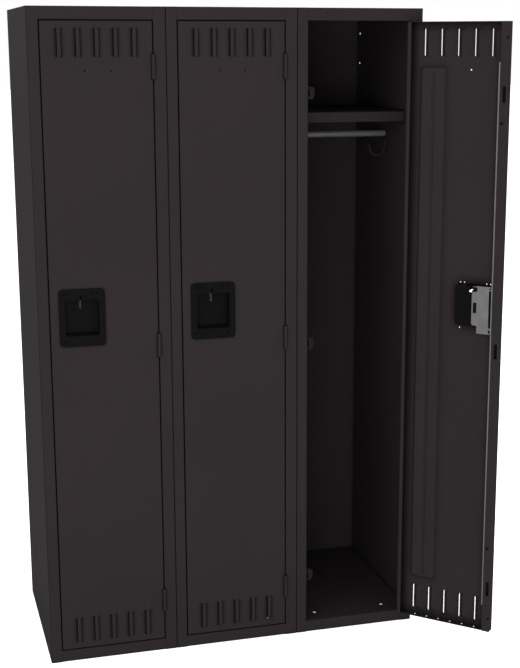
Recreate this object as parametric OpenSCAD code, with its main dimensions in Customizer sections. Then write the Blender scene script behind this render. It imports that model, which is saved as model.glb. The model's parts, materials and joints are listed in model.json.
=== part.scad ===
// Locker cabinet: three single-tier lockers side by side, in folded sheet steel.
// The origin is on the floor, on the underside of the front rail at the middle of the cabinet.
// The fronts face -Y.

/* [Cabinet] */
// Width over the outer side sheets
total_w = 914.4; // [823:0.1:1220]
// Depth from the face of the frames to the backs
depth = 457.2; // [300:0.1:620]
// Height of the frames and the sides
height = 1524; // [1400:1:1980]

/* [Sheets] */
// Thickness of the side sheets
side_t = 0.8; // [0.6:0.1:1.5]
// Thickness of the backs, tops, bottoms and shelves
panel_t = 0.8; // [0.6:0.1:1.5]
// Thickness of the door pans
door_t = 1.2; // [0.9:0.1:1.5]
// Thickness of the front frames
frame_t = 1.5; // [1.2:0.1:2]
// Inside radius of the folds
fold_r = 0.8; // [0.5:0.1:1.2]
// Clearance between sheets that are fastened together
sheet_gap = 0.1; // [0.05:0.05:0.2]
// How far the side sheets stand back from the face of the frames
side_setback = 2.5; // [2:0.5:5]
// Width of the flanges folded on the backs, tops, bottoms and shelves
flange_w = 12; // [10:1:18]

/* [Frames] */
// Face width of the stile on the latch side
latch_stile_w = 25; // [22:1:30]
// Face width of the stile on the hinge side
hinge_stile_w = 28; // [26:1:32]
// Face height of the rails
rail_h = 28.6; // [24:0.1:60]
// Depth of the return folded along the outside of a frame
outer_return = 16; // [14:1:22]
// Depth of the return folded round the door opening
inner_return = 28.6; // [26:0.1:34]
// Depth of the return folded on the rails
rail_return = 16; // [14:1:22]

/* [Doors] */
// Gap between a door and its frame
door_gap = 1.6; // [1.4:0.1:2]
// Depth of the door pans
door_depth = 22; // [20:0.5:24]
// Depth of the flanges at the top and bottom of a door
end_flange = 20; // [16:1:20]
// Width of the lip folded behind the free edge
lip_w = 18.5; // [17:0.5:20]
// How far the right door stands open
right_door_angle = 135; // [0:1:160]
// Height of the door stiffener
stiffener_h = 5; // [3:0.5:6]
// Distance from the stiffener to the door's hinge edge
stiffener_inset = 25.4; // [22:0.1:32]
// Distance from the stiffener to the handle cup's face plate
stiffener_gap = 26; // [12:0.5:32]
// Width of the groove down the middle of the stiffener
stiffener_groove = 8.4; // [6:0.1:12]
// Distance from the stiffener's ends to the ends of the door
stiffener_end = 98; // [95:1:130]
// Diameter of the drain holes in the door's end flanges
drain_d = 5; // [4:0.5:7]
// Pitch of the drain holes
drain_pitch = 31.7; // [25:0.1:38]

/* [Louvers] */
// Louvers in each row
louver_count = 5; // [3:1:5]
// Distance between louvers
louver_pitch = 41.3; // [38:0.1:44]
// Length of a louver
louver_len = 64; // [50:1:72]
// Distance from a row of louvers to the end of the door
louver_end = 15; // [12:1:20]
// Width of the bridge that stands out of the door
bridge_w = 8; // [6:0.5:10]
// How far the bridge stands out
bridge_h = 2.2; // [1.5:0.1:3.5]
// Slot between the bridge and the dish beside it
louver_slot = 0.8; // [0.6:0.1:1.5]
// Width of the dish pressed in beside a bridge
dish_w = 7.2; // [6:0.1:10]
// Depth of the dish
dish_h = 2.3; // [1:0.1:2.5]
// Length of the slopes at the ends of a bridge
bridge_slope = 4.5; // [4:0.5:9]
// Length of the slopes at the ends of a dish
dish_slope = 2.8; // [2:0.1:6]

/* [Number plate holes] */
// Diameter of the holes
plate_hole_d = 3.5; // [3:0.1:4.5]
// Distance between the two holes
plate_hole_pitch = 56; // [40:1:75]
// Distance from the top of the door to the holes
plate_hole_drop = 108.4; // [95:0.1:130]

/* [Hinges] */
// Outer diameter of the hinge barrel
barrel_d = 9; // [8:0.1:9.5]
// Diameter of the hinge pin
pin_d = 4.8; // [4:0.1:5.2]
// Radial clearance of the pin in the knuckles
pin_fit = 0.05; // [0.03:0.01:0.1]
// Length of a hinge along its pin
hinge_h = 54.5; // [50:0.5:70]
// Thickness of the hinge leaves
leaf_t = 1.5; // [1.2:0.1:1.8]
// How far the hinge axis stands out of the door's face
axis_out = 0.5; // [0.3:0.1:1]
// Distance from the ends of the door to the middle of the outer hinges
hinge_end = 99.8; // [80:0.1:140]
// Clearance between knuckles
knuckle_gap = 0.3; // [0.3:0.05:0.5]
// Clearance round a barrel in its notch
notch_gap = 0.5; // [0.4:0.1:1]

/* [Handle cup] */
// Width of the cup's face plate
cup_w = 104; // [98:1:112]
// Height of the face plate
cup_h = 132; // [126:1:140]
// Corner radius of the face plate
cup_r = 9; // [5:0.5:12]
// How far the face plate stands out of the door
cup_plate_t = 2.2; // [1.5:0.1:3]
// Width of the recess
recess_w = 77; // [70:1:80]
// Height of the recess
recess_h = 83; // [76:1:86]
// Corner radius of the recess
recess_r = 6; // [3:0.5:8]
// Wall of the moulded cup
cup_wall = 2; // [1.5:0.1:2.5]
// Distance from the latch edge of the door to the middle of the cup
cup_inset = 72.9; // [70:0.1:78]
// Height of the middle of the cup above the middle of the door
cup_rise = 74; // [0:1:90]
// Clearance of the cup in its cut-out
cup_fit = 0.6; // [0.4:0.1:1]
// Reach of the snap wedges that hold the cup
snap_reach = 2; // [1.6:0.1:2.4]
// Diameter of the screw holes for a built-in lock
lock_hole_d = 3.2; // [3:0.1:3.6]

/* [Latch] */
// How far the latch lifts
latch_lift = 8; // [6:0.5:8]
// Width of the lock bar
bar_w = 20.3; // [19:0.1:21]
// Thickness of the lock bar
bar_t = 2; // [1.5:0.1:2.2]
// How far the lock bar runs on below the lowest hook
bar_tail = 45; // [25:1:55]
// How far the lock bar runs on above the highest hook
bar_head = 72.5; // [25:0.5:80]
// Clearance between the lock bar and the lip it slides behind
bar_gap = 0.5; // [0.3:0.1:0.8]
// Thickness of the lift bracket
bracket_t = 1.5; // [1.2:0.1:1.8]
// Height of the lift bracket
bracket_h = 114.4; // [112:0.1:120]
// Thickness of the padlock hasp
hasp_t = 1.6; // [1.4:0.1:2.4]
// Height of the padlock hasp
hasp_h = 22; // [20:0.5:24]
// Diameter of the padlock eye
eye_d = 9.5; // [8:0.1:10.5]
// Width of the slots in the lip
slot_w = 8; // [7.5:0.5:9]
// Height of the slots in the lip
slot_h = 36; // [34:0.5:40]
// Distance from the latch edge of the door to the middle of the slots
slot_inset = 7.8; // [7.6:0.1:8.2]
// Distance from the bottom of the door to the lowest frame hook
hook_end = 111.8; // [105:0.1:140]
// Distance from the top of the door to the highest frame hook
hook_drop = 161.8; // [140:0.1:190]
// Distance from the lowest frame hook to the lower bar guide
guide_low = 105; // [60:1:150]
// Distance from the highest frame hook to the upper bar guide
guide_high = 65; // [50:1:150]

/* [Frame hooks] */
// Thickness of the finger that stands through the lip
finger_t = 2.5; // [2:0.1:3]
// Thickness of the hook's plate
hook_t = 2; // [1.5:0.1:2.5]
// Half height of the hook's plate
hook_half = 15; // [14:0.5:16]
// Reach of the hook's plate from the stile
hook_reach = 24.5; // [22:0.5:27]

/* [Inside] */
// Height of the hat shelf's top
shelf_z = 1283; // [1200:1:1300]
// Distance from the face of the frames to the shelf
shelf_front = 102; // [90:1:140]
// Height of the shelf's front lip
shelf_lip = 24; // [18:1:30]
// Diameter of the coat rod
rod_d = 15.9; // [12:0.1:19]
// Wall of the coat rod
rod_wall = 1.2; // [0.8:0.1:2]
// Drop from the shelf to the middle of the coat rod
rod_drop = 61; // [50:1:80]
// Distance from the face of the frames to the coat rod
rod_y = 241; // [200:1:260]
// Diameter of the wire of the wall hooks
wire_d = 4.2; // [4:0.1:6]
// Radius of the wall hooks' bend
wire_bend = 20; // [16:0.5:22]
// Diameter of the floor anchor holes
anchor_d = 8; // [6:0.5:11]
// Distance between the two anchor holes of a unit
anchor_pitch = 180; // [120:1:190]
// Distance from the face of the frames to the anchor holes
anchor_y = 50; // [45:1:90]
// Diameter of the holes for joining on another cabinet
join_d = 6; // [5:0.5:8]
// Diameter of the bolts that join the units
bolt_d = 5; // [4:0.5:6]

/* [Hidden] */
UNITS = ["left", "middle", "right"];
$fn = 48;

paint = [0.21, 0.19, 0.19];
zinc = [0.62, 0.62, 0.61];
black_plastic = [0.06, 0.06, 0.065];
rubber_grey = [0.2, 0.2, 0.2];
nylon = [0.1, 0.1, 0.1];

eps = 0.01;                      // overlap of cutting shapes past the faces they cut
unit_count = len(UNITS);
unit_pitch = (total_w - side_t) / unit_count;
clear_w = unit_pitch - side_t;   // between two side sheets

// Door opening and door, in a unit's own frame: x from its left sheet, y from the face, z from the floor
open_x0 = latch_stile_w;
open_x1 = clear_w - hinge_stile_w;
door_x0 = open_x0 + door_gap;
door_x1 = open_x1 - door_gap;
door_z0 = rail_h + door_gap;
door_z1 = height - rail_h - door_gap;
door_mid_x = (door_x0 + door_x1) / 2;
door_mid_z = (door_z0 + door_z1) / 2;

// Hinges
axis_x = open_x1 - door_gap / 2;
axis_y = -axis_out;
barrel_r = barrel_d / 2;
notch_r = barrel_r + notch_gap;
hinge_z = [door_z0 + hinge_end, door_mid_z, door_z1 - hinge_end];
knuckles = 5;
pin_head = 0.6;
knuckle_h = (hinge_h - (knuckles - 1) * knuckle_gap) / knuckles;
leaf_y0 = axis_y + barrel_r + 0.4;

// Latch, from the back of the lip forwards
lip_y0 = door_depth - door_t;
lip_x1 = door_x0 + lip_w;
bar_y1 = lip_y0 - bar_gap;
bar_y0 = bar_y1 - bar_t;
bar_x0 = door_x0 + door_t + 1.7;
bar_x1 = bar_x0 + bar_w;
slot_x = door_x0 + slot_inset;
hook_lo = door_z0 + hook_end;
hook_hi = door_z1 - hook_drop;
hook_z = [hook_lo, (hook_lo + hook_hi) / 2, hook_hi];
guide_z = [hook_lo + guide_low, hook_hi - guide_high];
guide_x = slot_x + 3.4;
hook_y = inner_return + 0.3;     // front of a frame hook's plate
finger_top = 13;                 // finger's reach above and below the hook's middle
finger_bottom = 6;
notch_play = 0.3;                // the bar's notches reach this far past the slots in the lip

// Handle cup and hasp
cup_x = door_x0 + cup_inset;
cup_z = door_mid_z + cup_rise;
recess_x0 = cup_x - recess_w / 2;
recess_x1 = cup_x + recess_w / 2;
recess_z0 = cup_z - recess_h / 2;
recess_z1 = recess_z0 + recess_h;
bracket_y0 = bar_y1;
box_y1 = bracket_y0 - 0.8;       // back of the cup, just in front of the bracket
hasp_x = cup_x - hasp_t / 2 - 2;
hasp_z0 = recess_z1 - 21;
hasp_y0 = 3;
hasp_slit = hasp_t + 2;
slit_z1 = hasp_z0 + hasp_h + latch_lift + 0.8;
box_z1 = slit_z1 + 1.4;
lock_hole_z1 = box_z1 + cup_fit + lock_hole_d / 2 + 1.4;
lock_hole_z0 = recess_z0 - cup_wall - cup_fit - lock_hole_d / 2 - 8;
lock_holes = [
  [-37.5, lock_hole_z1], [-27.8, lock_hole_z1], [27.8, lock_hole_z1], [37.5, lock_hole_z1],
  [-37.5, lock_hole_z0], [37.5, lock_hole_z0]
];                               // x from the hasp, z

// Stiffener
stiffener_x0 = cup_x + cup_w / 2 + stiffener_gap;
stiffener_x1 = door_x1 - stiffener_inset;

// Inside
bottom_z = rail_h - frame_t - sheet_gap;
top_z = height - frame_t - sheet_gap;
back_y = depth - sheet_gap;
rod_z = shelf_z - rod_drop;
bolt_z = [60, 400, 762, 1124, height - 60];
join_z = [height - 55, height - 131];
join_y = depth - 16;

// ---------- folding helpers ----------

function unit(v) = v / norm(v);

// Sheet of thickness t folded along a path of right-angle corners, seen end on
module folded(path, t) {
  rc = fold_r + t / 2;
  last = len(path) - 1;
  for (i = [0 : last - 1]) {
    d = unit(path[i + 1] - path[i]);
    a = path[i] + (i == 0 ? 0 : rc) * d;
    b = path[i + 1] - (i == last - 1 ? 0 : rc) * d;
    side = [-d[1], d[0]] * t / 2;
    polygon([a - side, b - side, b + side, a + side]);
  }
  for (i = [1 : last - 1]) {
    d1 = unit(path[i] - path[i - 1]);
    d2 = unit(path[i + 1] - path[i]);
    reach = rc + t;
    translate(path[i] - rc * d1 + rc * d2)
      intersection() {
        difference() {
          circle(r = rc + t / 2);
          circle(r = rc - t / 2);
        }
        polygon([[0, 0], reach * d1, reach * (d1 - d2), -reach * d2]);
      }
  }
}

module along_z(z0, z1) { translate([0, 0, z0]) linear_extrude(z1 - z0) children(); }

// Profile's first axis becomes Z, its second stays Y
module along_x(x0, x1) { translate([x1, 0, 0]) rotate([0, -90, 0]) linear_extrude(x1 - x0) children(); }

// Profile's first axis stays X, its second becomes -Z
module along_y(y0, y1) { translate([0, y0, 0]) rotate([-90, 0, 0]) linear_extrude(y1 - y0) children(); }

// Profile drawn as X and Z, carried from y0 to y1
module facing(y0, y1) { along_y(y0, y1) mirror([0, 1, 0]) children(); }

module box(x0, x1, y0, y1, z0, z1) { translate([x0, y0, z0]) cube([x1 - x0, y1 - y0, z1 - z0]); }

module pin_x(r, x0, x1, y, z) { translate([x0, y, z]) rotate([0, 90, 0]) cylinder(r = r, h = x1 - x0); }

module pin_y(r, y0, y1, x, z) { translate([x, y0, z]) rotate([-90, 0, 0]) cylinder(r = r, h = y1 - y0); }

module rounded(x0, x1, z0, z1, r) {
  translate([x0 + r, z0]) square([x1 - x0 - 2 * r, z1 - z0]);
  translate([x0, z0 + r]) square([x1 - x0, z1 - z0 - 2 * r]);
  for (x = [x0 + r, x1 - r], z = [z0 + r, z1 - r]) translate([x, z]) circle(r = r);
}

module in_group() { translate([-total_w / 2, -rail_return / 2, 0]) children(); }

module in_unit(i) { in_group() translate([i * unit_pitch + side_t, 0, 0]) children(); }

// A piece of door i, turned on the hinge axis to where the door stands
module on_door(i) {
  angle = i == unit_count - 1 ? right_door_angle : 0;
  in_unit(i) translate([axis_x, axis_y, 0]) rotate([0, 0, angle]) translate([-axis_x, -axis_y, 0]) children();
}

// ---------- cabinet ----------

module bolt_holes(x0, x1) {
  for (z = bolt_z, y = [outer_return - 6, join_y + 10]) pin_x(bolt_d / 2 + 0.3, x0, x1, y, z);
}

// Side sheet k, counted from the left
module side_sheet(k) {
  inner = k > 0 && k < unit_count;
  color(paint) in_group() translate([k * unit_pitch, 0, 0]) difference() {
    box(0, side_t, side_setback, depth, 0, height);
    if (inner) bolt_holes(-eps, side_t + eps);
    if (k > 0) for (z = join_z) pin_x(join_d / 2, -eps, side_t + eps, join_y, z);
  }
}

module stile(width, inner_x0, inner_x1) {
  far = width - frame_t / 2;
  near = sheet_gap + frame_t / 2;
  mid = frame_t / 2;
  along_z(rail_h, height - rail_h)
    folded([[near, outer_return], [near, mid], [far, mid], [far, inner_return]], frame_t);
  for (z = [0, height - rail_h]) along_z(z, z + rail_h) {
    folded([[near, outer_return], [near, mid], [far - frame_t, mid]], frame_t);
    translate([far - frame_t, 0]) square([1.5 * frame_t, frame_t]);
  }
  // the return runs on behind the rails by one thickness, where it is welded
  for (z = [rail_h - frame_t, height - rail_h])
    box(width - frame_t, width, frame_t, rail_return, z, z + frame_t);
}

// Rail between the stiles, its outer return running on behind them to close the corners
module rail() {
  mid = frame_t / 2;
  corner = sheet_gap + frame_t;
  along_x(open_x0, open_x1)
    folded([[mid, rail_return], [mid, mid], [rail_h - mid, mid], [rail_h - mid, rail_return]], frame_t);
  for (side = [[corner, open_x0], [open_x1, clear_w - corner]])
    box(side[0], side[1], frame_t, rail_return, 0, frame_t);
}

module hinge_notch() {
  for (z = hinge_z)
    box(axis_x - notch_r, axis_x + notch_r, -barrel_d, axis_y + notch_r,
        z - hinge_h / 2 - pin_head - 0.3, z + hinge_h / 2 + pin_head + 0.3);
}

module frame(i) {
  groove = 0.3;
  color(paint) in_unit(i) difference() {
    union() {
      stile(latch_stile_w);
      translate([clear_w, 0, 0]) mirror([1, 0, 0]) stile(hinge_stile_w);
      rail();
      translate([0, 0, height]) mirror([0, 0, 1]) rail();
    }
    hinge_notch();
    // butt welds between rails and stiles show as fine grooves
    for (x = [open_x0, open_x1], z = [-eps, height - rail_h - eps])
      box(x - groove / 2, x + groove / 2, -eps, groove, z, z + rail_h + 2 * eps);
    if (i > 0) bolt_holes(0, outer_return / 2);
    if (i < unit_count - 1) bolt_holes(clear_w - outer_return / 2, clear_w);
  }
}

module back(i) {
  mid = back_y - panel_t / 2;
  near = sheet_gap + panel_t / 2;
  front = back_y - flange_w;
  color(paint) in_unit(i) difference() {
    along_z(0, top_z - panel_t - sheet_gap)
      folded([[near, front], [near, mid], [clear_w - near, mid], [clear_w - near, front]], panel_t);
    if (i > 0) bolt_holes(0, flange_w / 2);
    if (i < unit_count - 1) bolt_holes(clear_w - flange_w / 2, clear_w);
  }
}

// Tray with its flanges turned down, its upper face at z = 0. The flanges end short of the frame
// and of the back's flanges, and tongues run on between those to y0 and y1.
module tray(y0, y1) {
  mid = panel_t / 2;
  near = sheet_gap + mid;
  tongue = sheet_gap + panel_t + fold_r + 0.2;
  along_y(outer_return + 0.3, back_y - flange_w - 0.3)
    folded([[near, flange_w], [near, mid], [clear_w - near, mid], [clear_w - near, flange_w]], panel_t);
  box(tongue, clear_w - tongue, y0, y1, -panel_t, 0);
}

module top(i) {
  color(paint) in_unit(i) translate([0, 0, top_z]) tray(frame_t + 2, depth);
}

module bottom(i) {
  color(paint) in_unit(i) translate([0, 0, bottom_z]) difference() {
    tray(frame_t + 2, back_y - panel_t - sheet_gap);
    for (s = [-1, 1])
      translate([clear_w / 2 + s * anchor_pitch / 2, anchor_y, -panel_t - eps])
        cylinder(d = anchor_d, h = panel_t + 2 * eps);
  }
}

module hat_shelf(i) {
  mid = panel_t / 2;
  hem = 8;
  rear = back_y - panel_t - sheet_gap;
  corner_y = back_y - flange_w - 0.3;
  corner_x = sheet_gap + panel_t + fold_r + 0.2;
  color(paint) in_unit(i) translate([0, 0, shelf_z]) {
    difference() {
      along_x(sheet_gap, clear_w - sheet_gap)
        folded([[-shelf_lip + mid, shelf_front + hem], [-shelf_lip + mid, shelf_front + mid],
                [-mid, shelf_front + mid], [-mid, rear - mid], [-flange_w, rear - mid]], panel_t);
      // the rear corners are notched round the back's flanges
      for (x = [-1, clear_w - corner_x]) box(x, x + corner_x + 1, corner_y, depth, -shelf_lip, 1);
    }
    for (x = [sheet_gap, clear_w - sheet_gap - panel_t])
      box(x, x + panel_t, shelf_front + hem, corner_y, -flange_w, -panel_t);
  }
}

module coat_rod(i) {
  color(zinc) in_unit(i) difference() {
    pin_x(rod_d / 2, 0.3, clear_w - 0.3, rod_y, rod_z);
    pin_x(rod_d / 2 - rod_wall, 0, clear_w, rod_y, rod_z);
  }
}

// One J-shaped hook on the left wall
module wall_hook() {
  plate_w = 14;
  plate_h = 32;
  plate_t = 2;
  plate_x0 = sheet_gap;
  wire_x = plate_x0 + plate_t + wire_d / 2;
  hook_y = rod_y - 11;
  plate_z1 = rod_z - rod_d / 2 - 3;
  bend_z = plate_z1 - plate_h + 8;
  color(paint) {
    along_x(plate_x0, plate_x0 + plate_t)
      rounded(plate_z1 - plate_h, plate_z1, hook_y - plate_w / 2, hook_y + plate_w / 2, 4);
    translate([wire_x, hook_y, bend_z]) cylinder(d = wire_d, h = plate_z1 - 4 - bend_z);
    translate([wire_x + wire_bend, hook_y, bend_z])
      rotate([90, 0, 0]) rotate([0, 0, 180]) rotate_extrude(angle = 180) translate([wire_bend, 0]) circle(d = wire_d);
    translate([wire_x + 2 * wire_bend, hook_y, bend_z]) {
      sphere(d = wire_d);
      rotate([0, 24, 0]) {
        cylinder(d = wire_d, h = 9);
        translate([0, 0, 9]) sphere(d = wire_d);
      }
    }
  }
}

module wall_hooks(i) {
  in_unit(i) {
    wall_hook();
    translate([clear_w, 0, 0]) mirror([1, 0, 0]) wall_hook();
  }
}

// Finger of a frame hook, seen from the side: a ramp, a nose and a notch for the bar
module finger_2d() {
  polygon([
    [finger_top - 4, hook_y + eps], [finger_top - 4, bar_y1 + 2], [finger_top - 6, bar_y1 + 1],
    [finger_top - 6, bar_y0 - 1], [finger_top, bar_y0 - 2], [finger_top, bar_y0 - 3.5],
    [-finger_bottom + 6, bar_y0 - 9], [-finger_bottom + 2, bar_y0 - 9], [-finger_bottom, bar_y0 - 5],
    [-finger_bottom, hook_y + eps]
  ]);
}

module hook_plate_2d() {
  r = hook_half - 5;
  x1 = open_x0 + hook_reach;
  translate([open_x0 - 3, -hook_half]) square([hook_reach + 3 - r, 2 * hook_half]);
  translate([x1 - r, -hook_half + r]) square([r, 2 * (hook_half - r)]);
  for (s = [-1, 1]) translate([x1 - r, s * (hook_half - r)]) circle(r = r);
}

module frame_hooks(i) {
  root_x = open_x0 - frame_t;    // hidden side of the stile's return
  color(paint) in_unit(i) for (z = hook_z) translate([0, 0, z]) {
    facing(hook_y, hook_y + hook_t) hook_plate_2d();
    box(root_x - hook_t, root_x, outer_return, hook_y + hook_t, -hook_half, hook_half);
    along_x(slot_x - finger_t / 2, slot_x + finger_t / 2) finger_2d();
  }
}

module silencers() {
  front = door_depth + 0.4;
  color(rubber_grey) for (i = [0 : unit_count - 1]) in_unit(i) for (z = hook_z) translate([0, 0, z])
    difference() {
      facing(front, hook_y) rounded(door_x0 + 0.8, lip_x1 - 0.2, -hook_half + 1, hook_half - 1, 3);
      box(slot_x - finger_t / 2 - 0.2, slot_x + finger_t / 2 + 0.2, front - 1, hook_y + 1,
          -finger_bottom - 0.3, finger_top - 3.5);
    }
}

module knuckle(n) {
  translate([axis_x, axis_y, n * (knuckle_h + knuckle_gap)]) cylinder(r = barrel_r, h = knuckle_h);
}

// Leaf with its own knuckles; side is -1 for the door's leaf and 1 for the frame's
module leaf(side, own, metal_x, reach) {
  x0 = side > 0 ? metal_x : metal_x - leaf_t;
  pitch = knuckle_h + knuckle_gap;
  difference() {
    union() {
      box(x0, x0 + leaf_t, leaf_y0, reach, 0, hinge_h);
      for (n = own) {
        knuckle(n);
        box(x0, x0 + leaf_t, axis_y, leaf_y0 + eps, n * pitch, n * pitch + knuckle_h);
      }
    }
    translate([axis_x, axis_y, -eps]) cylinder(r = pin_d / 2 + pin_fit, h = hinge_h + 2 * eps);
  }
}

module frame_leaves(i) {
  color(paint) in_unit(i) for (z = hinge_z) translate([0, 0, z - hinge_h / 2])
    leaf(1, [0, 2, 4], open_x1 + frame_t, inner_return - 4);
}

module door_leaves(i) {
  color(paint) on_door(i) for (z = hinge_z) translate([0, 0, z - hinge_h / 2])
    leaf(-1, [1, 3], door_x1 - door_t, door_depth - 2);
}

module hinge_pins(i) {
  color(paint) in_unit(i) for (z = hinge_z) translate([axis_x, axis_y, z - hinge_h / 2]) {
    cylinder(d = pin_d, h = hinge_h);
    for (end = [-pin_head, hinge_h]) translate([0, 0, end]) cylinder(r = barrel_r - 0.8, h = pin_head);
  }
}

// Bolt through a divider at x = 0 from head to nut, gripping the sheets on both sides
module joining_bolt(grip) {
  head_r = bolt_d * 0.95;
  pin_x(bolt_d / 2, -grip, grip + side_t + bolt_d, 0, 0);
  pin_x(head_r, -grip - bolt_d * 0.4, -grip, 0, 0);
  translate([grip + side_t, 0, 0]) rotate([0, 90, 0]) difference() {
    cylinder(r = head_r, h = bolt_d * 0.8, $fn = 6);
    translate([0, 0, -eps]) cylinder(d = bolt_d, h = bolt_d);
  }
  pin_x(bolt_d / 2 + 0.1, grip + side_t, grip + side_t + bolt_d * 0.8, 0, 0);
}

module joining_bolts() {
  color(zinc) in_group() for (k = [1 : unit_count - 1], z = bolt_z) translate([k * unit_pitch, 0, z]) {
    translate([0, outer_return - 6, 0]) joining_bolt(sheet_gap + frame_t);
    translate([0, join_y + 10, 0]) joining_bolt(sheet_gap + panel_t);
  }
}

// ---------- doors ----------

// Ramp, flat and ramp of a louver along its length, as a profile of z and y
module louver_run(height_y, slope) {
  polygon([[0, 0], [slope, height_y], [louver_len - slope, height_y], [louver_len, 0]]);
}

// Hollow of the dish on one side of a bridge, opening to the front
module dish(side) {
  edge = bridge_w / 2 + louver_slot;
  intersection() {
    along_x(-edge - dish_w, edge + dish_w) louver_run(dish_h, dish_slope);
    along_z(0, louver_len) polygon([
      [side * (edge - eps), 0], [side * (edge + dish_w), 0], [side * (edge + 1), dish_h], [side * (edge - eps), dish_h]
    ]);
  }
}

module louver_bridge() {
  weld = 0.05;                   // runs on into the sheet at both ends
  top = -bridge_h;
  far = louver_len - bridge_slope;
  along_x(-bridge_w / 2, bridge_w / 2) polygon([
    [-weld, 0], [0, 0], [bridge_slope, top], [far, top], [louver_len, 0], [louver_len + weld, 0],
    [louver_len + weld, door_t], [louver_len, door_t], [far, top + door_t], [bridge_slope, top + door_t],
    [0, door_t], [-weld, door_t]
  ]);
}

module at_louvers() {
  first = door_mid_x - (louver_count - 1) * louver_pitch / 2;
  for (n = [0 : louver_count - 1], z = [door_z0 + louver_end, door_z1 - louver_end - louver_len])
    translate([first + n * louver_pitch, 0, z]) children();
}

module door_blank() {
  mid = door_t / 2;
  latch_x = door_x0 + mid;
  hinge_x = door_x1 - mid;
  back = door_depth - mid;
  edge_r = fold_r + door_t;
  inner_x0 = door_x0 + door_t;
  inner_x1 = door_x1 - door_t;
  difference() {
    union() {
      along_z(door_z0, door_z1)
        folded([[lip_x1, back], [latch_x, back], [latch_x, mid], [hinge_x, mid], [hinge_x, door_depth]], door_t);
      for (z = [door_z0, door_z1 - door_t])
        box(inner_x0 - eps, inner_x1 + eps, door_t - eps, end_flange, z, z + door_t);
    }
    // the front's top and bottom edges are folded too
    for (s = [0, 1]) translate([0, 0, s * (door_z0 + door_z1)]) mirror([0, 0, s])
      along_x(door_x0 - 1, door_x1 + 1) translate([door_z0, 0]) difference() {
        translate([-1, -1]) square(edge_r + 1);
        translate([edge_r, edge_r]) circle(r = edge_r);
      }
  }
}

module at_lock_holes(y0, y1) {
  for (h = lock_holes) pin_y(lock_hole_d / 2, y0, y1, hasp_x + h[0], h[1]);
}

module door_holes() {
  for (s = [-1, 1])
    pin_y(plate_hole_d / 2, -eps, door_t + eps, door_mid_x + s * plate_hole_pitch / 2, door_z1 - plate_hole_drop);
  for (n = [-2.5 : 1 : 2.5], z = [door_z0 - eps, door_z1 - door_t - eps])
    translate([door_mid_x + n * drain_pitch, end_flange / 2, z]) cylinder(d = drain_d, h = door_t + 2 * eps);
  for (z = hook_z) facing(lip_y0 - eps, door_depth + eps)
    rounded(slot_x - slot_w / 2, slot_x + slot_w / 2, z - slot_h / 2, z + slot_h / 2, 1.5);
  for (z = guide_z) pin_y(2.6, lip_y0 - eps, door_depth + eps, guide_x, z);
  for (z = [door_z0 + 35, door_z1 - 35]) pin_y(2, lip_y0 - eps, door_depth + eps, slot_x - 4.5, z);
  at_lock_holes(-eps, door_t + eps);
  facing(-eps, door_t + eps) rounded(
    recess_x0 - cup_wall - cup_fit, recess_x1 + cup_wall + cup_fit,
    recess_z0 - cup_wall - cup_fit, box_z1 + cup_fit, recess_r + cup_wall);
}

module door(i) {
  half = bridge_w / 2 + louver_slot;
  color(paint) on_door(i) {
    difference() {
      union() {
        door_blank();
        at_louvers() for (side = [-1, 1]) translate([0, door_t, 0]) dish(side);
      }
      at_louvers() {
        box(-half, half, -1, door_t + dish_h + 1, 0, louver_len);
        for (side = [-1, 1]) translate([0, -eps, 0]) dish(side);
      }
      hinge_notch();
      door_holes();
    }
    at_louvers() louver_bridge();
  }
}

// The stiffener's cross-section, inset by the sheet's thickness for its hollow
module stiffener_2d(inset) {
  rise = stiffener_h - inset;
  x0 = stiffener_x0 + inset * sqrt(2);
  x1 = stiffener_x1 - inset * sqrt(2);
  mid = (stiffener_x0 + stiffener_x1) / 2;
  half = stiffener_groove / 2 + inset * (sqrt(2) - 1);
  drop = 1.4;
  polygon([
    [x0, 0], [x0 + rise, rise], [mid - half, rise], [mid - half + drop, rise - drop],
    [mid + half - drop, rise - drop], [mid + half, rise], [x1 - rise, rise], [x1, 0]
  ]);
}

// Its outline seen from the side, with sloped ends
module stiffener_run(inset) {
  rise = stiffener_h - inset;
  z0 = door_z0 + stiffener_end + inset * sqrt(2);
  z1 = door_z1 - stiffener_end - inset * sqrt(2);
  polygon([[z0, 0], [z0 + rise, rise], [z1 - rise, rise], [z1, 0]]);
}

module stiffener_hat(inset) {
  intersection() {
    along_z(door_z0, door_z1) stiffener_2d(inset);
    along_x(door_x0, door_x1) stiffener_run(inset);
  }
}

module stiffener(i) {
  color(paint) on_door(i) translate([0, door_t, 0]) difference() {
    stiffener_hat(0);
    translate([0, -eps, 0]) stiffener_hat(panel_t);
  }
}

// Wedge that snaps in behind the edge of the cut-out, on the side of the cup towards which side points
module snap_wedge(side) {
  x = side > 0 ? recess_x1 + cup_wall : recess_x0 - cup_wall;
  seat = door_t + 0.1;
  translate([x, 0, 0]) along_z(-9, 9)
    polygon([[-side * eps, seat], [side * snap_reach, seat], [side * snap_reach, seat + 1], [-side * eps, seat + 7]]);
}

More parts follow.
